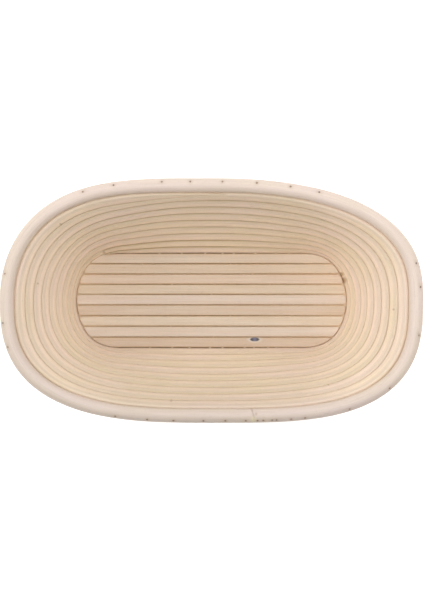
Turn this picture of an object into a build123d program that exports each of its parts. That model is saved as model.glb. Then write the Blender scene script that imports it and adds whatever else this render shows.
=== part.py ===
from build123d import *
import math
import os

# Oval proofing basket of coiled rattan cane, in millimetres.
# +X runs along the length, +Z is up, and the origin is at the centre of the underside.
# One cane is wound up from the floor, clockwise seen from above, nine turns and a taper.
# Nine straight slats make the floor, and a thicker cane, closed by a butt joint, makes the rim.

# ---- driving dimensions ----
PITCH = 8.2  # height of one turn, measured up the slope of the wall
TURNS = 9  # turns from the table to the underside of the rim
CANE_HALF_THICKNESS = 3.8  # of the wall cane, square to the wall
TURN_GAP = 0.2  # air between one turn and the next
RIM_RADIUS = 4.2
RIM_GAP = 0.25  # air between the last turn and the rim

FOOT_HALF_STRAIGHT = 56.1  # the wall's mid line at table height: two straights and two half circles
FOOT_RADIUS = 32.8
FOOT_SQUARENESS = 1.6  # how far the foot bulges beyond that oval at the shoulders of its ends
FOOT_SHOULDER = 0.275  # share of the quarter where it bulges most
FOOT_SHOULDER_WIDTH = 0.09

WALL_LIFT = 0.34  # puts the lowest side of the lowest turn on the table

# How far the wall leans from the table, in degrees, at an end and at a side of the basket.
FOOT_LEANS = (77.8, 61.3)
RIM_LEANS = (54.1, 65.3)

# The rim's mid line is a superellipse. Its two powers, of X and of Y, differ from quarter to
# quarter, counter-clockwise from the one between +X and +Y: the basket is bent by hand.
RIM_HALF_LENGTH = 120.8
RIM_HALF_WIDTH = 68.1
RIM_POWERS = ((2.29, 2.63), (3.68, 2.07), (3.0, 2.64), (3.38, 2.78))

# The cane starts and ends near one corner, so that is where every turn climbs onto the last.
START_PLACE = 0.407  # on the loop
FIRST_CLIMB_LENGTH = 0.20  # in turns
CLIMB_LENGTH = 0.19
CLIMB_DELAYS = (0.015, 0.015, 0.015, 0.02, 0.03, 0.05, 0.05, 0.11)  # of the later climbs, in turns
END_TURN = 9.175  # where the last taper runs out
TAPER_ROUNDNESS = 0.98  # thickness over height where the cane is shaved thin

FLOOR_THICKNESS = 5.0
SLAT_WIDTHS = (6.5, 6.5, 6.5, 6.4, 6.7, 6.9, 6.6, 6.9, 6.6)  # far side to near side
SLAT_GAP = 0.25
SLAT_EDGE_ROUNDING = 1.6
FLOOR_INSET_END = 3.45  # from the wall's mid line at the table to the slats' ends
FLOOR_INSET_SIDE = 2.5
FLOOR_END_SPAN = 0.17  # of the loop, to each side of the middle of an end
FLOOR_ROOM = 0.9  # share of the room under the climbing turn that the slats take up
START_CLEARANCE = 0.002  # of the loop, between the cane's start and the slat beside it
SLAT_CORNER_ROUNDING = 2.4  # of the middle slat; the others' slanting ends are rounded less

JOINT_PLACE = 0.808  # on the loop
JOINT_SLANT = 17  # degrees away from a square cut
JOINT_GAP = 0.15
JOINT_ROOM = 1.3  # how far square sections keep away from the slanting cut, as a share of its reach

NAIL_RADIUS = 0.55
NAIL_LENGTH = 13.0
NAIL_HEAD_RADIUS = 0.8
NAIL_HEAD_HEIGHT = 0.4
NAIL_HEAD_SINK = 0.1  # from the cane's surface down to the middle of the head
NAIL_TILT = 35  # degrees that a rim nail at an end points outwards from straight up
NAIL_TILT_CHANGE = 7  # how much less that is on the far side, and more on the near side
RIM_NAIL_PLACES = (
    0.009, 0.025, 0.111, 0.142, 0.188, 0.235, 0.279, 0.318, 0.382, 0.403,
    0.482, 0.515, 0.531, 0.619, 0.662, 0.698, 0.739, 0.769, 0.797, 0.813,
    0.821, 0.833, 0.839, 0.859, 0.878, 0.909, 0.938, 0.977,
)
TURN_NAILS_EACH = 8  # hidden nails that hold each turn down onto the one below
TURN_NAIL_LENGTH = 9.0
TURN_NAIL_RADIUS = 0.5
TURN_NAIL_STAGGER = 0.36  # of the spacing, from one turn to the next

PIN_RADIUS = 0.6  # wooden pins that hold each slat to its neighbour or to the wall
PIN_LENGTH = 7.0
PIN_HEIGHT = 2.6
FAR_WALL_PINS = (-52, -33, -19, -4, 7, 14, 28, 41, 49)  # x of each pin
NEAR_WALL_PINS = (-39, -25, -14, -1, 7, 21, 27, 36, 41)
SLAT_PINS = ((-44, 12), (26,), (-25, 37), (0,), (-40, 52), (12,), (-26, 33), (1,))

# ---- stations along a turn ----
ARC_STEPS = 12  # in a quarter circle
STRAIGHT_STEPS = 5  # in half a straight
FLOOR_STATIONS = 30  # along one end of the floor
END_MARGIN = 0.25  # no station is nearer than this to the end of a cane
HALVES_OVERLAP = 1.0  # how far each half of the floor's oval reaches past the middle
HALVINGS = 40  # steps of the search for the rim
TOLERANCE = 0.01

FOOT_ARC = FOOT_RADIUS * math.pi / 2
FOOT_QUARTER = FOOT_ARC + FOOT_HALF_STRAIGHT
FOOT_LOOP = 4 * FOOT_QUARTER
WALL_SLOPE = TURNS * PITCH
RIM_SLOPE = WALL_SLOPE + RIM_RADIUS + RIM_GAP


def foot(place):
    """Point, outward direction and share of the quarter at a place on the foot's loop.

    Places run from 0 to 1 counter-clockwise from the middle of the +X end.
    """
    along = (place % 1.0) * FOOT_LOOP
    quarter = int(along // FOOT_QUARTER)
    run = along - quarter * FOOT_QUARTER
    if quarter % 2 == 1:
        run = FOOT_QUARTER - run
    if run < FOOT_ARC:
        angle = run / FOOT_RADIUS
        out_x = math.cos(angle)
        out_y = math.sin(angle)
        x = FOOT_HALF_STRAIGHT + FOOT_RADIUS * out_x
        y = FOOT_RADIUS * out_y
    else:
        out_x = 0.0
        out_y = 1.0
        x = FOOT_HALF_STRAIGHT - (run - FOOT_ARC)
        y = FOOT_RADIUS
    if quarter in (1, 2):
        x = -x
        out_x = -out_x
    if quarter in (2, 3):
        y = -y
        out_y = -out_y
    return x, y, out_x, out_y, run / FOOT_QUARTER


def reach_to_rim(x, y, out_x, out_y):
    """How far outwards the rim's mid line is from a point of the foot, found by halving."""
    if y >= 0:
        power_x, power_y = RIM_POWERS[0 if x >= 0 else 1]
    else:
        power_x, power_y = RIM_POWERS[2 if x < 0 else 3]
    near = 0.0
    far = RIM_HALF_LENGTH
    for _ in range(HALVINGS):
        middle = (near + far) / 2
        share_x = abs(x + out_x * middle) / RIM_HALF_LENGTH
        share_y = abs(y + out_y * middle) / RIM_HALF_WIDTH
        if share_x**power_x + share_y**power_y < 1:
            near = middle
        else:
            far = middle
    return near


def foot_shoulder(share):
    """How far the foot bulges beyond the plain oval."""
    away = (share - FOOT_SHOULDER) / FOOT_SHOULDER_WIDTH
    return FOOT_SQUARENESS * math.exp(-(away**2) / 2)


def lean_at(leans, share):
    """Lean between that of an end and that of a side, in radians."""
    side = math.sin(math.pi * share / 2) ** 2
    return math.radians(leans[0] + (leans[1] - leans[0]) * side)


def wall_frame(place, slope):
    """Plane across the wall's mid surface, and how much longer its slope is there than slope.

    The plane's X runs up the slope, its Y squarely inwards and its Z clockwise round the wall.
    """
    x, y, out_x, out_y, share = foot(place)
    low = lean_at(FOOT_LEANS, share)
    high = lean_at(RIM_LEANS, share)
    bend = (high - low) / RIM_SLOPE
    lean = low + bend * slope
    widening = reach_to_rim(x, y, out_x, out_y) * bend / (math.sin(high) - math.sin(low))
    shoulder = foot_shoulder(share)
    left = 1 - slope / RIM_SLOPE
    offset = widening * (math.sin(lean) - math.sin(low)) / bend + shoulder * left**2
    height = WALL_LIFT + (math.cos(low) - math.cos(lean)) / bend
    level = widening * math.cos(lean) - 2 * shoulder * left / RIM_SLOPE
    uphill = Vector(out_x * level, out_y * level, math.sin(lean))
    origin = (x + out_x * offset, y + out_y * offset, height)
    return Plane(origin=origin, x_dir=uphill, z_dir=(out_y, -out_x, 0)), uphill.length


def smooth_step(value):
    value = min(max(value, 0.0), 1.0)
    return value * value * (3 - 2 * value)


def underside(turn):
    """Height up the slope, in pitches, of the winding's underside after so many turns."""
    total = smooth_step((turn - 1) / FIRST_CLIMB_LENGTH + 0.5)
    for climb, delay in enumerate(CLIMB_DELAYS, start=2):
        total += smooth_step((turn - climb - delay) / CLIMB_LENGTH + 0.5)
    return total


def wall_section(turn):
    """The wall cane's section, thinner at both ends of the winding but always flush inside."""
    low = underside(turn) * PITCH
    high = min(underside(turn + 1), TURNS) * PITCH
    plane, stretch = wall_frame(START_PLACE - turn, (low + high) / 2)
    half = ((high - low) * stretch - TURN_GAP) / 2
    thickness = min(CANE_HALF_THICKNESS, half * TAPER_ROUNDNESS)
    return plane * Pos(0, CANE_HALF_THICKNESS - thickness) * Ellipse(half, thickness)


def stations():
    """Places round one loop, close together on the bends."""
    places = []
    for quarter in range(4):
        runs = [FOOT_ARC * n / ARC_STEPS for n in range(ARC_STEPS)]
        runs += [FOOT_ARC + FOOT_HALF_STRAIGHT * n / STRAIGHT_STEPS for n in range(STRAIGHT_STEPS)]
        if quarter % 2 == 1:
            runs = [FOOT_QUARTER - run for run in runs]
        places += [(quarter * FOOT_QUARTER + run) / FOOT_LOOP % 1.0 for run in runs]
    return sorted({round(place, 6) for place in places})


def stations_between(first, last):
    """Every station between two places, which may be more than a loop apart."""
    found = []
    for loop in range(math.floor(first) - 1, math.ceil(last) + 1):
        found += [place + loop for place in stations()]
    margin = END_MARGIN / FOOT_LOOP
    return [place for place in found if first + margin < place < last - margin]


def tube(sections):
    """One solid through a row of sections, each joined to the next by a ruled face."""
    rings = [section.edge() for section in sections]
    sides = [Face.make_surface_from_curves(ring, after) for ring, after in zip(rings, rings[1:])]
    ends = [Face(Wire([ring])) for ring in (rings[0], rings[-1])]
    return Solid(Shell(sides + ends))


def make_wall_cane():
    places = stations_between(START_PLACE - END_TURN, START_PLACE)
    turns = [0.0] + [START_PLACE - place for place in reversed(places)] + [END_TURN]
    return tube([wall_section(turn) for turn in turns])


def rim_section(place, slant=0):
    """The rim's round section, or a longer one where it is cut at a slant."""
    plane = wall_frame(place, RIM_SLOPE)[0]
    along = plane.z_dir.rotate(Axis.Z, slant)
    cut = Plane(origin=plane.origin, x_dir=along.cross(Vector(0, 0, 1)), z_dir=along)
    return cut * Ellipse(RIM_RADIUS / math.cos(math.radians(slant)), RIM_RADIUS)


def make_rim_cane():
    gap = JOINT_GAP / 2 / FOOT_LOOP
    slant_reach = RIM_RADIUS * math.tan(math.radians(JOINT_SLANT)) * JOINT_ROOM / FOOT_LOOP
    first = JOINT_PLACE + gap
    last = JOINT_PLACE + 1 - gap
    middle = stations_between(first + slant_reach, last - slant_reach)
    ring = [rim_section(last, JOINT_SLANT)]
    ring += [rim_section(place) for place in reversed(middle)]
    ring += [rim_section(first, JOINT_SLANT)]
    return tube(ring)


def floor_edge(place):
    """Point of the oval that the slats are cut to, just inside the lowest turn.

    Where that turn climbs, before the cane's start, it leaves the slats more room.
    """
    x, y, out_x, out_y, share = foot(place)
    side = math.sin(math.pi * share / 2) ** 2
    inset = FLOOR_INSET_END + (FLOOR_INSET_SIDE - FLOOR_INSET_END) * side
    climbed = underside((START_PLACE - place) % 1.0) * PITCH
    room = FLOOR_ROOM * climbed * math.cos(lean_at(FOOT_LEANS, share))
    offset = foot_shoulder(share) + room - inset
    return x + out_x * offset, y + out_y * offset


def floor_half(runs, side):
    """The half of the floor's oval that its edge passes round in these runs of places."""
    edges = []
    for first, last in runs:
        places = [first + (last - first) * n / FLOOR_STATIONS for n in range(FLOOR_STATIONS + 1)]
        edges.append(Spline(*[floor_edge(place) for place in places]))
    links = [Line(before @ 1, after @ 0) for before, after in zip(edges, edges[1:])]
    inner_x = -side * HALVES_OVERLAP
    inner_y = side * FOOT_RADIUS
    rest = Polyline(edges[-1] @ 1, (inner_x, inner_y), (inner_x, -inner_y), edges[0] @ 0)
    return make_face(edges + links + [rest])


def floor_outline():
    """The oval that all the slats are cut to, in two halves that overlap in the middle."""
    right = floor_half([(-FLOOR_END_SPAN, FLOOR_END_SPAN)], 1)
    before_start = (0.5 - FLOOR_END_SPAN, START_PLACE)
    after_start = (START_PLACE + START_CLEARANCE, 0.5 + FLOOR_END_SPAN)
    return right + floor_half([before_start, after_start], -1)


def make_slat(far_edge, width, outline):
    """A straight strip, flat underneath, with rounded long edges and its ends cut to the oval."""
    length = 2 * (FOOT_HALF_STRAIGHT + FOOT_RADIUS)
    middle = far_edge - width / 2
    strip = Pos(0, middle, FLOOR_THICKNESS / 2) * Box(length, width - SLAT_GAP, FLOOR_THICKNESS)
    top_edges = strip.edges().filter_by(Axis.X).group_by(Axis.Z)[-1]
    strip = fillet(top_edges, SLAT_EDGE_ROUNDING)
    plan = Pos(0, middle) * Rectangle(length, width - SLAT_GAP) & outline
    half = (width - SLAT_GAP) / 2
    corners = [vertex for vertex in plan.vertices() if abs(abs(vertex.Y - middle) - half) < TOLERANCE]
    plan = fillet(corners, SLAT_CORNER_ROUNDING * (1 - (middle / FOOT_RADIUS) ** 2))
    return (strip & extrude(plan, FLOOR_THICKNESS)).solid()


def slat_edges():
    """Y of the far edge of each slat, and of the last one's near edge."""
    edges = [sum(SLAT_WIDTHS) / 2]
    for width in SLAT_WIDTHS:
        edges.append(edges[-1] - width)
    return edges


def peg(origin, direction, radius, length):
    """A round pin with its middle at origin."""
    plane = Plane(origin=origin, z_dir=direction)
    return plane * Cylinder(radius, length)


def make_rim_nail(place):
    """A nail driven through the outer upper side of the rim into the top turn of the wall."""
    plane = wall_frame(place, RIM_SLOPE)[0]
    out = Vector(-plane.z_dir.Y, plane.z_dir.X, 0)
    tilt = math.radians(NAIL_TILT - NAIL_TILT_CHANGE * out.Y)
    direction = out * math.sin(tilt) + Vector(0, 0, math.cos(tilt))
    surface = plane.origin + direction * RIM_RADIUS
    shank = peg(surface - direction * NAIL_LENGTH / 2, direction, NAIL_RADIUS, NAIL_LENGTH)
    head = peg(surface - direction * NAIL_HEAD_SINK, direction, NAIL_HEAD_RADIUS, NAIL_HEAD_HEIGHT)
    return (shank + head).solid()


def make_turn_nails():
    """Nails down the slope of the wall, each from the middle of one turn into the next below."""
    nails = []
    for turn in range(1, TURNS):
        for n in range(TURN_NAILS_EACH):
            place = START_PLACE - (n + TURN_NAIL_STAGGER * turn) / TURN_NAILS_EACH
            plane = wall_frame(place, turn * PITCH)[0]
            nails.append(peg(plane.origin, plane.x_dir, TURN_NAIL_RADIUS, TURN_NAIL_LENGTH))
    return Compound(children=nails)


def make_floor_pins():
    """Pins across the gaps between slats, and between the outer slats and the wall."""
    pins = []
    rows = (FAR_WALL_PINS,) + SLAT_PINS + (NEAR_WALL_PINS,)
    for gap_y, row in zip(slat_edges(), rows):
        for x in row:
            pins.append(peg((x, gap_y, PIN_HEIGHT), (0, 1, 0), PIN_RADIUS, PIN_LENGTH))
    return Compound(children=pins)


def main():
    os.makedirs("parts", exist_ok=True)
    export_step(make_wall_cane(), "parts/wall_cane.step")
    export_step(make_rim_cane(), "parts/rim_cane.step")
    outline = floor_outline()
    for number, (edge, width) in enumerate(zip(slat_edges(), SLAT_WIDTHS), start=1):
        export_step(make_slat(edge, width, outline), f"parts/floor_slat_{number}.step")
    rim_nails = Compound(children=[make_rim_nail(place) for place in RIM_NAIL_PLACES])
    export_step(rim_nails, "parts/rim_nails.step")
    export_step(make_turn_nails(), "parts/turn_nails.step")
    export_step(make_floor_pins(), "parts/floor_pins.step")


main()
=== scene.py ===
import math

import bpy
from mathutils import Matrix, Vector, noise


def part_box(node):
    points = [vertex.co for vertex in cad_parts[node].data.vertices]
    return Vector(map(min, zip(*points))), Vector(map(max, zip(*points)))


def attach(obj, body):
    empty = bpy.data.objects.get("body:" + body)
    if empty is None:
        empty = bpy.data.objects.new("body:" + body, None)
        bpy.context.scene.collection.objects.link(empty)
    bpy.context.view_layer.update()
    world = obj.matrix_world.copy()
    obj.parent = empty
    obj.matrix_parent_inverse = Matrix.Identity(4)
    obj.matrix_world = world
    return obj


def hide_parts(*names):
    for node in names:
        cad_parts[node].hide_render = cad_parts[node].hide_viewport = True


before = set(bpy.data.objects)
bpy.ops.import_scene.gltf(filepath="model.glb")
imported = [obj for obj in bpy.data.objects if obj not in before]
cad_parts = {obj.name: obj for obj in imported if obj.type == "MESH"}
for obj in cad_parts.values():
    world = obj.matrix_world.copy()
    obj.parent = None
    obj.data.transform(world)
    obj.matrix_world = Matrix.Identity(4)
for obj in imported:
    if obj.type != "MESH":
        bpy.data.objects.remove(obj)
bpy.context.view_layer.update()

# Oval proofing basket of coiled rattan cane, in metres, in the CAD model's frame.
# The canes, the slats and the rim's nail heads are made again in fine detail on the CAD's lines.

MM = 0.001

# ---- the winding: the CAD model's driving dimensions, but with narrower gaps ----
PITCH = 8.2 * MM
TURNS = 9
CANE_HALF_THICKNESS = 3.8 * MM
TURN_GAP = 0.10 * MM
RIM_RADIUS = 4.2 * MM
RIM_GAP = 0.25 * MM
FOOT_HALF_STRAIGHT = 56.1 * MM
FOOT_RADIUS = 32.8 * MM
WALL_LIFT = 0.34 * MM
END_LEAN = (77.8, 54.1)  # degrees, at the foot and at the rim
SIDE_LEAN = (61.3, 65.3)
RIM_HALF_LENGTH = 120.8 * MM
RIM_HALF_WIDTH = 68.1 * MM
RIM_POWERS = ((2.29, 2.63), (3.68, 2.07), (3.0, 2.64), (3.38, 2.78))  # of X and Y in each quarter
FOOT_SQUARENESS = 1.6 * MM
FOOT_SHOULDER = 0.275
FOOT_SHOULDER_WIDTH = 0.09
START_PLACE = 0.407
FIRST_CLIMB_LENGTH = 0.20
CLIMB_LENGTH = 0.19
CLIMB_DELAYS = (0.015, 0.015, 0.015, 0.02, 0.03, 0.05, 0.05, 0.11)  # of the later climbs
END_TURN = 9.175
TAPER_ROUNDNESS = 0.98
JOINT_PLACE = 0.808
JOINT_SLANT = math.radians(17)
JOINT_GAP = 0.02 * MM
JOINT_REACH = 14 * MM  # from the joint to where the rim's sections are square again

FOOT_ARC = FOOT_RADIUS * math.pi / 2
FOOT_QUARTER = FOOT_ARC + FOOT_HALF_STRAIGHT
FOOT_LOOP = 4 * FOOT_QUARTER
RIM_SLOPE = TURNS * PITCH + RIM_RADIUS + RIM_GAP
GIRTH = 2 * math.pi * CANE_HALF_THICKNESS  # what V of the UV map comes to, once round a cane

# ---- mesh fineness ----
HALVINGS = 40
RINGS_PER_TURN = 288
RIM_RINGS = 432
WALL_SIDES = 28
WALL_POWER = 4.5  # 2 would be a plain oval; more is squarer
RIM_SIDES = 40
FLOOR_STATIONS = 720
TINY = 1e-12  # keeps a division by a level step of the oval from failing
START_STATIONS = 60
SLAT_COLUMNS = 15
SLAT_ROWS = 121
SLAT_END_INSETS = (0.0, 0.25 * MM, 0.65 * MM, 1.25 * MM, 2.05 * MM, 3.05 * MM)
SLAT_END_LENGTH = 3.2 * MM
NAIL_SIDES = 14
NAIL_LEVELS = 5

# ---- natural unevenness: how much, and over how many turns, metres or nails ----
WALL_SWELL = (0.02, 0.07)  # share of the thickness, turns
WALL_WANDER = (0.08 * MM, 0.11)  # metres, turns
RIM_SWELL = (0.012, 0.05)  # share of the thickness, turns
SLAT_WAVE = (0.08 * MM, 0.05)  # metres, metres
NAIL_SPREAD = (0.25, 1.7)  # share of the head's radius, nails
SEED_STEP = 7.31  # keeps the wave of each piece apart from the others'

# ---- the floor ----
FLOOR_INSET_END = 3.45 * MM  # from the wall's mid line at the table to the slats
FLOOR_INSET_SIDE = 2.5 * MM
FLOOR_END_SPAN = 0.17  # of the loop, to each side of the middle of an end
FLOOR_ROOM = 0.9  # share of the room under the climbing turn that the slats take up
SLAT_CORNER = 2.4 * MM  # of the middle slat; the others' slanting ends are rounded less
SLAT_EDGE = 0.65 * MM
SLAT_END_EDGE = 0.4 * MM
SLAT_CROWN = 0.25 * MM
# painted warm shade along the slats' sides and ends, beside the shaded gaps between them
SLAT_SHADE_EDGE = 0.7 * MM
UNDERSIDE_SHIFT = 0.05  # moves the underside's fibres away from the upper side's

# ---- the rim's nails, with smaller heads than the CAD model's ----
RIM_NAIL_PLACES = (
    0.009, 0.025, 0.111, 0.142, 0.188, 0.235, 0.279, 0.318, 0.382, 0.403,
    0.482, 0.515, 0.531, 0.619, 0.662, 0.698, 0.739, 0.769, 0.797,
    0.813, 0.821, 0.833, 0.839, 0.859, 0.878, 0.909, 0.938, 0.977,
)
NAIL_TILT = (35, 7)  # degrees: in the middle, and how much more it is on the near side
NAIL_SINK = 0.05 * MM
NAIL_HEAD_RADIUS = 0.6 * MM
NAIL_HEAD_HEIGHT = 0.25 * MM
NAIL_HEAD_DEPTH = 0.5 * MM
NAIL_STAIN = 1.3 * MM

# ---- marks and tones: a round mark is (x, y, radius) in mm ----
WALL_MARKS = (
    (-67.8, 30.2, 1.3), (-89.8, 45.5, 0.9), (-104.5, 10.2, 0.9),
    (-24.0, -59.7, 1.1), (70.2, -50.6, 0.8), (108.8, -5.4, 0.9),
)
WALL_BROWNING = ((83.3, 12.6, 3.0), (82.2, 16.5, 2.0))
RIM_MARKS = ((26.3, -66.7, 1.2),)
RIM_YELLOWING = ((24.8, -70.0, 2.6),)
INKED_SLAT = 9
INK_PLACE = (27.4 * MM, -24.7 * MM, 5.0 * MM)
INK_HALF_SIZE = (2.9 * MM, 1.2 * MM, 1.5 * MM)  # the depth keeps it off the underside
GROOVE_FAR_SIDE = 10.0  # how much deeper the painted groove shade gets for each metre towards +Y
GROOVE_ENDS = -4.7  # and for each metre from the middle towards the oval's ends
GROOVE_FADE = (60 * MM, 66 * MM)  # heights between which the painted groove shade fades out below the rim
NIP_DEPTH = 0.9  # how much deeper the painted groove shade over the cane's start is
NIP_LENGTH = 0.3  # of a turn: how far along the cane that lasts
SLAT_TONES = (  # red, green and blue of each slat beside the plain tone
    (0.98, 1.02, 1.04), (0.96, 0.99, 0.98), (0.98, 0.99, 1.00),
    (0.94, 0.98, 0.97), (0.96, 1.02, 1.11), (0.87, 0.88, 0.88),
    (0.94, 1.00, 1.02), (0.92, 0.98, 1.06), (0.82, 0.81, 0.79),
)

# ---- the table: each is (where it starts, where it stops, value before, value after) ----
TABLE_EDGE = (FOOT_RADIUS + 1 * MM, FOOT_RADIUS + 4 * MM, 0.0, 1.0)  # from under the basket to open
OUTER_GLOW = (FOOT_RADIUS + 3 * MM, FOOT_RADIUS + 33 * MM, 0.0, 0.30)
END_GLOW = (58 * MM, 72 * MM, 0.0, 0.35)  # under the slats, towards both ends
RIGHT_GLOW = (20 * MM, 42 * MM, 0.10, 0.30)  # under the slats, towards +X

# ---- the studio ----
LIGHT_SIZE = 0.9
LIGHT_COLOUR = (1.0, 0.995, 0.98)
LIGHTS = (  # name, place and power
    ("overhead", (0, 0, 1.6), 12),
    ("left", (-1.22, 0.15, 1.03), 8.5),
    ("far_right", (0.87, 0.87, 1.03), 4.5),
    ("far_left", (-0.87, 0.87, 1.03), 1.5),
    ("right", (1.22, -0.15, 1.03), 2),
)
SKY_COLOUR = (1.0, 0.995, 0.985, 1)
SKY_SLOPE = (0.0, 0.35, 0.1)  # brighter on the far side and overhead
SKY_STRENGTH = 0.5
CAMERA_ABOVE_RIM = 0.9
CAMERA_OFFSET = 0.3 * MM  # from the basket's middle, along X and Y
PICTURE_LENGTH = 0.3544  # what the picture's long side spans at the rim's height
SENSOR_WIDTH = 36


# ---------------------------------------------------------------- the wall's surface

def foot(place):
    """Point, outward direction and share of the quarter at a place on the foot's loop."""
    along = (place % 1.0) * FOOT_LOOP
    quarter = int(along // FOOT_QUARTER)
    run = along - quarter * FOOT_QUARTER
    if quarter % 2 == 1:
        run = FOOT_QUARTER - run
    if run < FOOT_ARC:
        angle = run / FOOT_RADIUS
        out_x = math.cos(angle)
        out_y = math.sin(angle)
        x = FOOT_HALF_STRAIGHT + FOOT_RADIUS * out_x
        y = FOOT_RADIUS * out_y
    else:
        out_x = 0.0
        out_y = 1.0
        x = FOOT_HALF_STRAIGHT - (run - FOOT_ARC)
        y = FOOT_RADIUS
    if quarter in (1, 2):
        x = -x
        out_x = -out_x
    if quarter in (2, 3):
        y = -y
        out_y = -out_y
    return x, y, out_x, out_y, run / FOOT_QUARTER


def reach_to_rim(x, y, out_x, out_y):
    """How far outwards the rim's mid line is from a point of the foot, found by halving."""
    if y >= 0:
        power_x, power_y = RIM_POWERS[0 if x >= 0 else 1]
    else:
        power_x, power_y = RIM_POWERS[2 if x < 0 else 3]
    near = 0.0
    far = RIM_HALF_LENGTH
    for _ in range(HALVINGS):
        middle = (near + far) / 2
        share_x = abs(x + out_x * middle) / RIM_HALF_LENGTH
        share_y = abs(y + out_y * middle) / RIM_HALF_WIDTH
        if share_x**power_x + share_y**power_y < 1:
            near = middle
        else:
            far = middle
    return near


def sidewards(share):
    """0 at the middle of the basket's ends, 1 at the middle of its long sides."""
    return math.sin(math.pi * share / 2) ** 2


def lean_at(side, level):
    """Lean of the wall at its foot (level 0) or rim (level 1), between its end's and side's."""
    return math.radians(END_LEAN[level] + (SIDE_LEAN[level] - END_LEAN[level]) * side)


def foot_shoulder(share):
    """How far the foot bulges outwards beyond the plain oval."""
    away = (share - FOOT_SHOULDER) / FOOT_SHOULDER_WIDTH
    return FOOT_SQUARENESS * math.exp(-(away**2) / 2)


def wall_lines(places):
    """For each place on the loop, what wall_point needs to go up the slope from there."""
    lines = []
    for place in places:
        x, y, out_x, out_y, share = foot(place)
        low = lean_at(sidewards(share), 0)
        high = lean_at(sidewards(share), 1)
        bend = (high - low) / RIM_SLOPE
        widening = reach_to_rim(x, y, out_x, out_y) * bend / (math.sin(high) - math.sin(low))
        base = Vector((x, y, 0))
        out = Vector((out_x, out_y, 0))
        lines.append((base, out, low, bend, widening, foot_shoulder(share)))
    return lines


def wall_point(line, slope):
    """Point of the wall's mid surface, its uphill direction and the stretch of its slope."""
    base, out, low, bend, widening, shoulder = line
    lean = low + bend * slope
    left = 1 - slope / RIM_SLOPE
    offset = widening * (math.sin(lean) - math.sin(low)) / bend + shoulder * left**2
    height = WALL_LIFT + (math.cos(low) - math.cos(lean)) / bend
    level = widening * math.cos(lean) - 2 * shoulder * left / RIM_SLOPE
    uphill = out * level + Vector((0, 0, math.sin(lean)))
    return base + out * offset + Vector((0, 0, height)), uphill.normalized(), uphill.length


def smooth_step(value):
    value = min(max(value, 0.0), 1.0)
    return value * value * (3 - 2 * value)


def underside(turn):
    """Height up the slope, in pitches, of the winding's underside after so many turns."""
    total = smooth_step((turn - 1) / FIRST_CLIMB_LENGTH + 0.5)
    for climb, delay in enumerate(CLIMB_DELAYS, start=2):
        total += smooth_step((turn - climb - delay) / CLIMB_LENGTH + 0.5)
    return total


# ---------------------------------------------------------------- the canes

def rounded(value, power):
    """A sine or cosine pushed outwards, so that a circle becomes a squarer oval."""
    return math.copysign(abs(value) ** (2 / power), value)


def unevenness(seed, along, wave):
    """Smooth noise, up to about the wave's height either way, the same in each run."""
    height, period = wave
    return height * noise.noise(Vector((along / period, seed * SEED_STEP, 0.5)))


def add_piece(name, mesh, material):
    mesh.validate()
    mesh.materials.append(material)
    piece = bpy.data.objects.new(name, mesh)
    bpy.context.scene.collection.objects.link(piece)
    return piece


def add_values(mesh, name, values):
    """A number for each vertex, which the material reads by name."""
    mesh.attributes.new(name, "FLOAT", "POINT").data.foreach_set("value", values)


def tube_points(rings, section):
    points = []
    for centre, across, up, half_across, half_up in rings:
        for rise, reach in section:
            point = centre + up * (half_up * rise) + across * (half_across * reach)
            point.z = max(point.z, 0.0)
            points.append(point)
    return points


def sweep(name, rings, sides, power, material):
    """A closed tube through rings, each (centre, across, up, half across, half up).

    The UV map runs in metres: U along the tube and V round it. The attribute rise goes from -1
    on the bottom line of the tube, where it touches the one below, to 1 on the top line.
    """
    angles = [2 * math.pi * side / sides for side in range(sides)]
    section = [(rounded(math.cos(a), power), rounded(math.sin(a), power)) for a in angles]
    lengths = [0.0]
    for before, after in zip(rings, rings[1:]):
        lengths.append(lengths[-1] + (after[0] - before[0]).length)
    corners = []
    for ring in range(len(rings) - 1):
        for side in range(sides):
            corners.append(((ring, side), (ring, side + 1), (ring + 1, side + 1), (ring + 1, side)))
    faces = [tuple(ring * sides + side % sides for ring, side in face) for face in corners]
    faces.append(tuple(reversed(range(sides))))
    faces.append(tuple(range((len(rings) - 1) * sides, len(rings) * sides)))
    mesh = bpy.data.meshes.new(name)
    mesh.from_pydata(tube_points(rings, section), [], faces)
    uv = mesh.uv_layers.new(name="grain")
    for loop, (ring, side) in enumerate(corner for face in corners for corner in face):
        uv.data[loop].uv = (lengths[ring], GIRTH * side / sides)
    add_values(mesh, "rise", [rise for rise, reach in section] * len(rings))
    mesh.polygons.foreach_set("use_smooth", [True] * len(corners) + [False, False])
    return add_piece(name, mesh, material)


def start_nip(turn):
    """1 where the second turn climbs over the thin start of the first, fading to 0 along it."""
    if turn >= 2:
        return 0.0
    return max(0.0, 1 - (turn % 1.0) / NIP_LENGTH)


def make_wall(material):
    """One cane wound up from the floor, thin at both ends."""
    count = int(END_TURN * RINGS_PER_TURN) + 1
    turns = [END_TURN * n / (count - 1) for n in range(count)]
    rings = []
    for turn, line in zip(turns, wall_lines([START_PLACE - turn for turn in turns])):
        low = underside(turn) * PITCH
        high = min(underside(turn + 1), TURNS) * PITCH
        centre, up, stretch = wall_point(line, (low + high) / 2)
        half_up = ((high - low) * stretch - TURN_GAP) / 2
        half_across = min(CANE_HALF_THICKNESS, half_up * TAPER_ROUNDNESS)
        half_across *= 1 + unevenness(1, turn, WALL_SWELL)
        outward = up.cross(Vector((line[1].y, -line[1].x, 0)))
        inset = CANE_HALF_THICKNESS - half_across + unevenness(2, turn, WALL_WANDER)
        rings.append((centre - outward * inset, outward, up, half_across, half_up))
    wall = sweep("wall_winding", rings, WALL_SIDES, WALL_POWER, material)
    nips = [start_nip(turn) for turn in turns for _ in range(WALL_SIDES)]
    add_values(wall.data, "nip", nips)
    return wall


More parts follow.
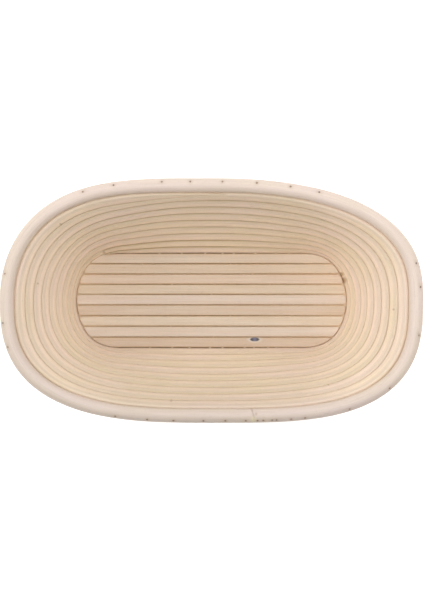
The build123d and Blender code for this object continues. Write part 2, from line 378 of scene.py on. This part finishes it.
def make_rim(material):
    """One thicker cane, round to a butt joint cut a little aslant."""
    gap = JOINT_GAP / FOOT_LOOP
    steps = RIM_RINGS - 1
    places = [JOINT_PLACE + gap + (1 - 2 * gap) * n / steps for n in range(RIM_RINGS)]
    rings = []
    for place, line in zip(places, wall_lines(places)):
        out = line[1]
        along = Vector((-out.y, out.x, 0))
        from_joint = min(place - places[0], places[-1] - place) * FOOT_LOOP
        slant = math.tan(JOINT_SLANT) * max(0.0, 1 - from_joint / JOINT_REACH)
        radius = RIM_RADIUS * (1 + unevenness(3, place, RIM_SWELL))
        centre = wall_point(line, RIM_SLOPE)[0]
        rings.append((centre, -out - along * slant, Vector((0, 0, 1)), radius, radius))
    return sweep("rim_ring", rings, RIM_SIDES, 2.0, material)


# ---------------------------------------------------------------- the floor's slats

def floor_edge(place):
    """Point of the oval that the slats are cut to, a little inside the winding."""
    x, y, out_x, out_y, share = foot(place)
    side = sidewards(share)
    inset = FLOOR_INSET_END + (FLOOR_INSET_SIDE - FLOOR_INSET_END) * side
    climb = underside((START_PLACE - place) % 1.0) * PITCH
    offset = foot_shoulder(share) + FLOOR_ROOM * climb * math.cos(lean_at(side, 0)) - inset
    return x + out_x * offset, y + out_y * offset


def floor_line(first, last, steps):
    """Points of the slats' oval between two places on the loop."""
    return [floor_edge(first + (last - first) * n / steps) for n in range(steps + 1)]


FLOOR_OVAL = floor_line(0.0, 1.0, FLOOR_STATIONS)
BESIDE_START = floor_line(0.5 - FLOOR_END_SPAN, START_PLACE, START_STATIONS)


def floor_reach(y, side):
    """How far the floor's oval reaches along X at y, on one side."""
    best = 0.0
    for before, after in zip(FLOOR_OVAL, FLOOR_OVAL[1:]):
        if side * before[0] > 0 and (before[1] - y) * (after[1] - y) <= 0:
            share = (y - before[1]) / (after[1] - before[1] + TINY)
            best = max(best, side * (before[0] + (after[0] - before[0]) * share))
    return best


def start_limit(x):
    """Y that the first slat is cut back to beside the cane's start; elsewhere nothing limits it."""
    for before, after in zip(BESIDE_START, BESIDE_START[1:]):
        if after[0] <= x <= before[0]:
            share = (x - before[0]) / (after[0] - before[0])
            return before[1] + (after[1] - before[1]) * share
    return math.inf


def eased(distance, radius):
    """Drop of a rounded edge at a distance inwards from it."""
    if distance >= radius:
        return 0.0
    return radius - math.sqrt(radius**2 - (radius - distance) ** 2)


def slat_end(y, near, far, side):
    """X of a slat's end at y: the oval, with the slat's own rounded corners taken off."""
    corner = SLAT_CORNER * (1 - ((far + near) / 2 / FOOT_RADIUS) ** 2)
    return side * (floor_reach(y, side) - eased(min(far - y, y - near), corner))


def slat_row(row, left, right):
    """X of a row of points across a slat, and how far in from the slat's end it is."""
    ends = len(SLAT_END_INSETS)
    from_end = min(row, SLAT_ROWS - 1 - row)
    if from_end >= ends:
        share = (row - ends + 1) / (SLAT_ROWS - 2 * ends + 1)
        return left + SLAT_END_LENGTH + (right - left - 2 * SLAT_END_LENGTH) * share, SLAT_END_LENGTH
    inset = SLAT_END_INSETS[from_end]
    if row == from_end:
        return left + inset, inset
    return right - inset, inset


def slat_points(number, low, high):
    """Points of a slat and how much painted edge shade each gets: upper and lower side, row by row
    along X.
    """
    near = low.y
    far = high.y
    middle = (near + far) / 2
    turns = [math.pi * column / (SLAT_COLUMNS - 1) for column in range(SLAT_COLUMNS)]
    across = [near + (far - near) * (1 - math.cos(turn)) / 2 for turn in turns]
    ends = [(slat_end(y, near, far, -1), slat_end(y, near, far, 1)) for y in across]
    points = []
    edge_shade = []
    for row in range(SLAT_ROWS):
        upper = []
        for y, (left, right) in zip(across, ends):
            x, inset = slat_row(row, left, right)
            edge = min(far, start_limit(x)) if number == 1 else far
            y = min(y, edge)
            to_side = min(edge - y, y - near)
            top = high.z - SLAT_CROWN * ((y - middle) / (far - middle)) ** 2
            top -= eased(to_side, SLAT_EDGE) + eased(inset, SLAT_END_EDGE)
            top += unevenness(20 + number, x, SLAT_WAVE)
            upper.append((x, y, top))
            edge_shade.append(max(0.0, 1 - min(to_side, inset) / SLAT_SHADE_EDGE))
        edge_shade += edge_shade[-SLAT_COLUMNS:]
        points += upper + [(x, y, low.z) for x, y, top in upper]
    return points, edge_shade


def slat_faces():
    """Four-cornered faces over all sides of a slat."""
    def at(row, layer, column):
        return (2 * row + layer) * SLAT_COLUMNS + column

    last = SLAT_COLUMNS - 1
    end = SLAT_ROWS - 1
    faces = []
    for row in range(end):
        after = row + 1
        for column in range(last):
            beside = column + 1
            faces.append((at(row, 0, column), at(after, 0, column),
                          at(after, 0, beside), at(row, 0, beside)))
            faces.append((at(row, 1, column), at(row, 1, beside),
                          at(after, 1, beside), at(after, 1, column)))
        faces.append((at(row, 0, 0), at(row, 1, 0), at(after, 1, 0), at(after, 0, 0)))
        faces.append((at(row, 0, last), at(after, 0, last), at(after, 1, last), at(row, 1, last)))
    for column in range(last):
        beside = column + 1
        faces.append((at(0, 0, column), at(0, 0, beside), at(0, 1, beside), at(0, 1, column)))
        faces.append((at(end, 0, column), at(end, 1, column), at(end, 1, beside), at(end, 0, beside)))
    return faces


def make_slat(number, material):
    """Straight strip between the sides of its CAD solid, with its ends cut to the oval."""
    low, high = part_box(f"floor_slat_{number}")
    points, edge_shade = slat_points(number, low, high)
    faces = slat_faces()
    mesh = bpy.data.meshes.new(f"slat_{number}")
    mesh.from_pydata(points, [], faces)
    uv = mesh.uv_layers.new(name="grain")
    for loop in mesh.loops:
        x, y, z = points[loop.vertex_index]
        is_lower = loop.vertex_index // SLAT_COLUMNS % 2
        uv.data[loop.index].uv = (x, y + UNDERSIDE_SHIFT * is_lower)
    add_values(mesh, "edge_shade", edge_shade)
    mesh.polygons.foreach_set("use_smooth", [True] * len(faces))
    return add_piece(f"slat_{number}", mesh, material)


# ---------------------------------------------------------------- the rim's nails

def nail_seats():
    """Point on the rim's surface, direction of the nail and direction along the rim."""
    seats = []
    for line in wall_lines(RIM_NAIL_PLACES):
        out = line[1]
        tilt = math.radians(NAIL_TILT[0] - NAIL_TILT[1] * out.y)
        up = out * math.sin(tilt) + Vector((0, 0, math.cos(tilt)))
        surface = wall_point(line, RIM_SLOPE)[0] + up * (RIM_RADIUS - NAIL_SINK)
        seats.append((surface, up, Vector((-out.y, out.x, 0))))
    return seats


def stain_round_nails(rim):
    """Attribute stain on the rim: 1 at a nail, fading out within about two millimetres."""
    spots = [surface for surface, up, side in nail_seats()]
    stains = []
    for vertex in rim.data.vertices:
        nearest = min((vertex.co - spot).length for spot in spots)
        stains.append(math.exp(-((nearest / NAIL_STAIN) ** 2)))
    add_values(rim.data, "stain", stains)


def circle(centre, side, other, radius):
    points = []
    for n in range(NAIL_SIDES):
        angle = 2 * math.pi * n / NAIL_SIDES
        points.append(centre + (side * math.cos(angle) + other * math.sin(angle)) * radius)
    return points


def nail_head(surface, up, side, radius):
    """Points of one domed head: its top, the rings of the dome and the ring in the cane."""
    other = up.cross(side)
    points = [surface + up * NAIL_HEAD_HEIGHT]
    for level in range(1, NAIL_LEVELS + 1):
        bend = math.pi / 2 * level / NAIL_LEVELS
        centre = surface + up * (NAIL_HEAD_HEIGHT * math.cos(bend))
        points += circle(centre, side, other, radius * math.sin(bend))
    return points + circle(surface - up * NAIL_HEAD_DEPTH, side, other, radius)


def nail_faces(first):
    """Faces over the points of one head, the first of which has this number."""
    faces = []
    for n in range(NAIL_SIDES):
        after = (n + 1) % NAIL_SIDES
        faces.append((first, first + 1 + n, first + 1 + after))
        for level in range(NAIL_LEVELS):
            here = first + 1 + level * NAIL_SIDES
            below = here + NAIL_SIDES
            faces.append((here + n, below + n, below + after, here + after))
    last = first + 1 + NAIL_LEVELS * NAIL_SIDES
    faces.append(tuple(last + n for n in reversed(range(NAIL_SIDES))))
    return faces


def make_rim_nails(material):
    """Small domed heads, sunk a little into the outer upper side of the rim."""
    points = []
    faces = []
    for index, (surface, up, side) in enumerate(nail_seats()):
        radius = NAIL_HEAD_RADIUS * (1 + unevenness(40, index, NAIL_SPREAD))
        faces += nail_faces(len(points))
        points += nail_head(surface, up, side, radius)
    mesh = bpy.data.meshes.new("rim_nail_heads")
    mesh.from_pydata(points, [], faces)
    mesh.polygons.foreach_set("use_smooth", [True] * len(faces))
    return add_piece("rim_nail_heads", mesh, material)


# ---------------------------------------------------------------- materials

class Nodes:
    """Short calls for a material's node tree."""

    def __init__(self, name, roughness):
        self.material = bpy.data.materials.new(name)
        self.material.use_nodes = True
        self.tree = self.material.node_tree
        self.shader = self.tree.nodes["Principled BSDF"]
        self.shader.inputs["Roughness"].default_value = roughness

    def add(self, kind, inputs=None, **settings):
        node = self.tree.nodes.new(kind)
        for key, value in settings.items():
            setattr(node, key, value)
        for socket, amount in (inputs or {}).items():
            node.inputs[socket].default_value = amount
        return node

    def link(self, source, target):
        self.tree.links.new(source, target)

    def finish(self, colour):
        self.link(colour, self.shader.inputs["Base Color"])
        return self.material

    def place(self):
        """Where a point is on the object, in metres."""
        return self.add("ShaderNodeTexCoord").outputs["Object"]

    def values(self, name):
        """A mesh's own number for each point."""
        return self.add("ShaderNodeAttribute", attribute_name=name).outputs["Fac"]

    def split(self, vector):
        """The X, Y and Z sockets of a vector."""
        node = self.add("ShaderNodeSeparateXYZ")
        self.link(vector, node.inputs["Vector"])
        return node.outputs

    def vector_math(self, operation, first, second=(0, 0, 0), output="Vector"):
        node = self.add("ShaderNodeVectorMath", inputs={1: second}, operation=operation)
        self.link(first, node.inputs[0])
        return node.outputs[output]

    def clouds(self, vector, scale, detail, rough=0.5):
        inputs = {"Scale": scale, "Detail": detail, "Roughness": rough}
        node = self.add("ShaderNodeTexNoise", inputs=inputs)
        self.link(vector, node.inputs["Vector"])
        return node.outputs["Fac"]

    def streaks(self, scale, detail):
        """Noise stretched by scale in U and V, from the grain UV map."""
        uv = self.add("ShaderNodeUVMap", uv_map="grain").outputs["UV"]
        stretched = self.vector_math("MULTIPLY", uv, (scale[0], scale[1], 0))
        return self.clouds(stretched, 1.0, detail, 0.55)

    def ramp(self, source, stops, smooth=False):
        node = self.add("ShaderNodeValToRGB")
        if smooth:
            node.color_ramp.interpolation = "EASE"
        elements = node.color_ramp.elements
        while len(elements) < len(stops):
            elements.new(0.5)
        for element, (position, colour) in zip(elements, stops):
            element.position = position
            element.color = (*colour, 1)
        self.link(source, node.inputs["Fac"])
        return node.outputs["Color"]

    def map_range(self, source, first, last, low, high):
        limits = {"From Min": first, "From Max": last, "To Min": low, "To Max": high}
        node = self.add("ShaderNodeMapRange", inputs=limits)
        self.link(source, node.inputs["Value"])
        return node.outputs["Result"]

    def mix(self, factor, first, second, blend="MIX"):
        node = self.add("ShaderNodeMix", data_type="RGBA", blend_type=blend)
        for value, name in ((factor, "Factor"), (first, "A"), (second, "B")):
            if isinstance(value, (int, float)):
                node.inputs[name].default_value = value
            elif isinstance(value, tuple):
                node.inputs[name].default_value = (*value, 1)
            else:
                self.link(value, node.inputs[name])
        return node.outputs["Result"]

    def shade(self, base, source, stops):
        """Multiply a colour by a ramp in which 0.5 leaves it as it is."""
        tone = self.ramp(source, stops)
        twice = self.add("ShaderNodeVectorMath", inputs={"Scale": 2.0}, operation="SCALE")
        self.link(tone, twice.inputs[0])
        return self.mix(1.0, base, twice.outputs["Vector"], "MULTIPLY")

    def math(self, operation, first, second=None, third=None):
        node = self.add("ShaderNodeMath", operation=operation)
        for value, socket in zip((first, second, third), node.inputs):
            if isinstance(value, (int, float)):
                socket.default_value = value
            elif value is not None:
                self.link(value, socket)
        return node.outputs["Value"]


def grey(value):
    return (value, value, value)


def grain(nodes, pale, warm, scales, depth):
    """Cane's colour: slow drifts between two tones, fine fibres along it and short dark pores.

    scales has how often each of the three changes for each metre along and across the cane.
    """
    drift_scale, fibre_scale, pore_scale = scales
    drift = nodes.ramp(nodes.streaks(drift_scale, 2.0), ((0.35, grey(0)), (0.65, grey(1))))
    base = nodes.mix(drift, pale, warm)
    fibres = nodes.streaks(fibre_scale, 3.0)
    fibre_tone = nodes.ramp(fibres, ((0.30, grey(1 - depth)), (0.62, grey(1.02))))
    base = nodes.mix(1.0, base, fibre_tone, "MULTIPLY")
    pores = nodes.streaks(pore_scale, 1.0)
    pore_tone = nodes.ramp(pores, ((0.27, grey(1 - 2 * depth)), (0.36, grey(1))))
    base = nodes.mix(1.0, base, pore_tone, "MULTIPLY")
    bump = nodes.add("ShaderNodeBump", inputs={"Strength": 0.35, "Distance": 0.12 * MM})
    relief = nodes.math("MULTIPLY_ADD", pores, 0.4, fibres)
    nodes.link(relief, bump.inputs["Height"])
    nodes.link(bump.outputs["Normal"], nodes.shader.inputs["Normal"])
    return base


def specks(nodes, base, places, colour, strength=0.45):
    """Soft round marks in a colour, each (x, y, radius) in mm, seen from above."""
    flat = nodes.vector_math("MULTIPLY", nodes.place(), (1, 1, 0))
    for x, y, radius in places:
        away = nodes.vector_math("DISTANCE", flat, (x * MM, y * MM, 0), "Value")
        share = nodes.math("DIVIDE", away, radius * MM)
        amount = nodes.ramp(share, ((0.3, grey(strength)), (1.0, grey(0))), smooth=True)
        base = nodes.mix(amount, base, colour)
    return base


def painted_light_gradient(nodes, base, level, slopes, ends):
    """Multiply a colour by painted light: a slow change of brightness across the basket.

    It stands in for how the lamps light the basket. level is the brightness in the middle, slopes
    its change for each metre of X, Y and Z, and ends is (where it starts, where it stops, how much)
    for the painted lighter ends of the oval.
    """
    first, last, much = ends
    across = nodes.vector_math("DOT_PRODUCT", nodes.place(), slopes, "Value")
    length = nodes.math("ABSOLUTE", nodes.split(nodes.place())["X"])
    pale = nodes.map_range(length, first, last, level, level + much)
    return nodes.mix(1.0, base, nodes.math("ADD", pale, across), "MULTIPLY")


def cane_material(name, pale, warm, light_gradient, marks):
    """Peeled rattan core with a painted light gradient, as its nodes and the colour so far."""
    nodes = Nodes(name, 0.62)
    scales = ((20.0, 70.0), (38.0, 2600.0), (420.0, 5200.0))
    base = painted_light_gradient(nodes, grain(nodes, pale, warm, scales, 0.10), *light_gradient)
    return nodes, specks(nodes, base, marks, (0.28, 0.18, 0.10))


def groove_shade_depth(nodes):
    """How strong the painted shade in the grooves is.

    It is deeper on the far side and at the cane's start, less so at the oval's ends, and
    left out just under the rim.
    """
    parts = nodes.split(nodes.place())
    below_rim = nodes.map_range(parts["Z"], *GROOVE_FADE, 1.0, 0.0)
    to_far_side = nodes.math("MAXIMUM", parts["Y"], 0.0)
    to_end = nodes.math("ABSOLUTE", parts["X"])
    depth = nodes.math("MULTIPLY_ADD", to_far_side, GROOVE_FAR_SIDE, 1.0)
    depth = nodes.math("MULTIPLY_ADD", to_end, GROOVE_ENDS, depth)
    at_start = nodes.math("MULTIPLY_ADD", nodes.values("nip"), NIP_DEPTH, 1.0)
    return nodes.math("MULTIPLY", nodes.math("MULTIPLY", depth, below_rim), at_start)


def wall_material():
    """Peeled cane with painted shade in the grooves between the turns and painted light and shade
    across each turn.
    """
    # painted light: the wall is made brighter towards +X and +Y, towards its lower turns and towards
    # the oval's ends
    light_gradient = (1.08, (0.1, 1.7, -1.5), (50 * MM, 85 * MM, 0.10))
    pale = (0.66, 0.535, 0.44)
    warm = (0.64, 0.53, 0.395)
    nodes, base = cane_material("wall_cane", pale, warm, light_gradient, WALL_MARKS)
    rise = nodes.values("rise")
    # painted light and shade across each turn: its lower half and middle are lifted and its upper
    # rounded edge, which the lamps light most, is darkened
    painted_section_shade = (
        (0.0, grey(0.50)), (0.1, grey(0.53)), (0.25, grey(0.57)), (0.4, grey(0.575)),
        (0.55, grey(0.55)), (0.7, grey(0.49)), (0.85, grey(0.46)), (1.0, grey(0.50)),
    )
    base = nodes.shade(base, nodes.math("MULTIPLY_ADD", rise, 0.5, 0.5), painted_section_shade)
    base = specks(nodes, base, WALL_BROWNING, (0.34, 0.19, 0.07), 0.75)
    from_middle = nodes.math("ABSOLUTE", rise)
    # painted shade: the grooves between the turns are darkened towards olive brown
    groove = nodes.ramp(from_middle, ((0.55, grey(0)), (0.97, grey(0.55))), smooth=True)
    amount = nodes.math("MULTIPLY", groove, groove_shade_depth(nodes))
    return nodes.finish(nodes.mix(amount, base, (0.39, 0.28, 0.15)))


def rim_material():
    """Peeled cane, stained a little round the nails, with painted light that makes its shaded inner
    side paler.
    """
    # painted light: the rim is made brighter towards +X and +Y and towards the oval's ends
    light_gradient = (0.935, (0.3, 1.1, 0.0), (0.0, 120 * MM, 0.07))
    pale = (0.585, 0.485, 0.435)
    warm = (0.575, 0.485, 0.41)
    nodes, base = cane_material("rim_cane", pale, warm, light_gradient, RIM_MARKS)
    uv = nodes.add("ShaderNodeUVMap", uv_map="grain").outputs["UV"]
    # painted light: the rim's shaded inner side is made paler and warmer, and its outer side a touch
    # darker
    painted_section_shade = (
        (0.0, grey(0.50)), (0.1, grey(0.51)), (0.2, (0.59, 0.59, 0.57)),
        (0.3, (0.68, 0.66, 0.58)), (0.45, (0.64, 0.62, 0.54)), (0.6, grey(0.5)),
        (0.75, (0.49, 0.48, 0.47)), (1.0, grey(0.50)),
    )
    base = nodes.shade(base, nodes.math("DIVIDE", nodes.split(uv)["Y"], GIRTH), painted_section_shade)
    stain = nodes.math("MULTIPLY", nodes.values("stain"), 0.5)
    base = nodes.mix(stain, base, (0.34, 0.24, 0.15))
    return nodes.finish(specks(nodes, base, RIM_YELLOWING, (0.62, 0.56, 0.33)))


def slat_material(number, tone):
    """Flat rattan strip with straight fibres, painted warm shade along its edges and painted light
    towards its ends.
    """
    nodes = Nodes(f"slat_cane_{number}", 0.6)
    pale = tuple(level * channel for level, channel in zip((0.605, 0.47, 0.36), tone))
    warm = tuple(level * channel for level, channel in zip((0.58, 0.43, 0.31), tone))
    scales = ((14.0, 330.0 + number), (30.0, 3400.0), (260.0, 6200.0))
    base = grain(nodes, pale, warm, scales, 0.14)
    # painted light: the slats are made brighter towards +X and towards the oval's ends
    base = painted_light_gradient(nodes, base, 0.945, (0.15, 0.0, 0.0), (35 * MM, 80 * MM, 0.14))
    # painted shade: a warm darker tint along the slat's sides and ends, where the gaps beside it lie
    # in shade
    edge_shaded = nodes.mix(1.0, base, (1.0, 0.89, 0.72), "MULTIPLY")
    base = nodes.mix(nodes.values("edge_shade"), base, edge_shaded)
    if number == INKED_SLAT:
        base = ink_mark(nodes, base)
    return nodes.finish(base)


def ink_mark(nodes, base):
    """Small blurred blue-grey mark with a pale edge, without any lettering."""
    shift = nodes.vector_math("SUBTRACT", nodes.place(), INK_PLACE)
    stretch = nodes.vector_math("MULTIPLY", shift, [1 / size for size in INK_HALF_SIZE])
    away = nodes.vector_math("LENGTH", stretch, output="Value")
    share = nodes.math("MULTIPLY", away, 0.5)
    along = nodes.math("MULTIPLY_ADD", nodes.split(stretch)["X"], 0.5, 0.5)
    ink = nodes.ramp(along, ((0.22, (0.04, 0.03, 0.035)), (0.42, (0.10, 0.10, 0.16)),
                             (0.60, (0.10, 0.10, 0.15)), (0.78, (0.05, 0.035, 0.025))))
    halo = nodes.ramp(share, ((0.55, grey(0.5)), (0.95, grey(0))))
    amount = nodes.ramp(share, ((0.42, grey(1)), (0.6, grey(0))))
    return nodes.mix(amount, nodes.mix(halo, base, (0.57, 0.53, 0.49)), ink)


def nail_material():
    """Dark steel with brown rust patches."""
    nodes = Nodes("dark_nail_steel", 0.55)
    nodes.shader.inputs["Metallic"].default_value = 0.3
    rust = nodes.clouds(nodes.place(), 900.0, 3.0)
    return nodes.finish(nodes.ramp(rust, ((0.40, (0.17, 0.135, 0.115)), (0.62, (0.30, 0.20, 0.14)))))


def pin_material():
    """Pale split-cane pins."""
    nodes = Nodes("pin_wood", 0.65)
    wood = nodes.clouds(nodes.place(), 700.0, 2.0)
    return nodes.finish(nodes.ramp(wood, ((0.35, (0.66, 0.50, 0.36)), (0.65, (0.80, 0.66, 0.50)))))


def floor_material():
    """Pale table: it glows a little round the basket, and is in warm brown shade underneath it."""
    nodes = Nodes("white_floor", 0.9)
    nodes.shader.inputs["Specular IOR Level"].default_value = 0.0
    cloud = nodes.clouds(nodes.place(), 3.0, 2.0)
    table = nodes.ramp(cloud, ((0.3, grey(0.90)), (0.7, grey(0.92))))
    parts = nodes.split(nodes.place())
    length = nodes.math("ABSOLUTE", parts["X"])
    joined = nodes.add("ShaderNodeCombineXYZ")
    beyond = nodes.math("MAXIMUM", nodes.math("SUBTRACT", length, FOOT_HALF_STRAIGHT), 0.0)
    nodes.link(beyond, joined.inputs["X"])
    nodes.link(parts["Y"], joined.inputs["Y"])
    distance = nodes.vector_math("LENGTH", joined.outputs["Vector"], output="Value")
    outside = nodes.map_range(distance, *TABLE_EDGE)
    inside = nodes.math("SUBTRACT", 1.0, outside)
    below = nodes.math("ADD", nodes.map_range(length, *END_GLOW),
                       nodes.map_range(parts["X"], *RIGHT_GLOW))
    around = nodes.map_range(distance, *OUTER_GLOW)
    strength = nodes.math("MULTIPLY_ADD", below, inside, around)
    light = nodes.mix(outside, (0.76, 0.58, 0.38), (1.0, 1.0, 1.0))
    nodes.link(light, nodes.shader.inputs["Emission Color"])
    nodes.link(strength, nodes.shader.inputs["Emission Strength"])
    return nodes.finish(nodes.mix(outside, (0.30, 0.19, 0.11), table))


# ---------------------------------------------------------------- the studio

def make_ground():
    bpy.ops.mesh.primitive_plane_add(size=6, location=(0, 0, 0))
    ground = bpy.context.object
    ground.name = "ground"
    ground.data.materials.append(floor_material())


def make_sky():
    """A soft white surround that is a little brighter on one side."""
    world = bpy.data.worlds.new("studio")
    bpy.context.scene.world = world
    world.use_nodes = True
    tree = world.node_tree
    background = tree.nodes["Background"]
    background.inputs["Color"].default_value = SKY_COLOUR
    direction = tree.nodes.new("ShaderNodeTexCoord")
    across = tree.nodes.new("ShaderNodeVectorMath")
    across.operation = "DOT_PRODUCT"
    across.inputs[1].default_value = SKY_SLOPE
    strength = tree.nodes.new("ShaderNodeMath")
    strength.inputs[1].default_value = SKY_STRENGTH
    tree.links.new(direction.outputs["Generated"], across.inputs[0])
    tree.links.new(across.outputs["Value"], strength.inputs[0])
    tree.links.new(strength.outputs["Value"], background.inputs["Strength"])


def area_light(name, place, power):
    """A round soft lamp that faces the basket."""
    data = bpy.data.lights.new(name, "AREA")
    data.shape = "DISK"
    data.size = LIGHT_SIZE
    data.energy = power
    data.color = LIGHT_COLOUR
    light = bpy.data.objects.new(name, data)
    light.location = place
    light.rotation_euler = (-Vector(place)).to_track_quat("-Z", "Y").to_euler()
    bpy.context.scene.collection.objects.link(light)


def make_camera():
    """Straight above the basket, looking down."""
    rim_low, rim_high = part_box("rim_cane")
    camera = bpy.data.objects.new("camera", bpy.data.cameras.new("camera"))
    camera.data.sensor_width = SENSOR_WIDTH
    camera.data.lens = SENSOR_WIDTH * CAMERA_ABOVE_RIM / PICTURE_LENGTH
    height = (rim_low.z + rim_high.z) / 2 + CAMERA_ABOVE_RIM
    camera.location = (CAMERA_OFFSET, CAMERA_OFFSET, height)
    bpy.context.scene.collection.objects.link(camera)
    bpy.context.scene.camera = camera


make_camera()
bpy.context.scene.view_settings.view_transform = "Standard"
make_ground()
make_sky()
for name, place, power in LIGHTS:
    area_light(name, place, power)

# ---------------------------------------------------------------- the basket

wall = make_wall(wall_material())
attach(wall, "root")
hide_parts("wall_cane")

rim = make_rim(rim_material())
stain_round_nails(rim)
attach(rim, "root")
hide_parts("rim_cane")

for number, tone in enumerate(SLAT_TONES, start=1):
    slat = make_slat(number, slat_material(number, tone))
    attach(slat, "root")
    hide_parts(f"floor_slat_{number}")

nail_steel = nail_material()
heads = make_rim_nails(nail_steel)
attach(heads, "root")
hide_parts("rim_nails")

for node, material in (("turn_nails", nail_steel), ("floor_pins", pin_material())):
    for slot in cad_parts[node].material_slots:
        slot.material = material
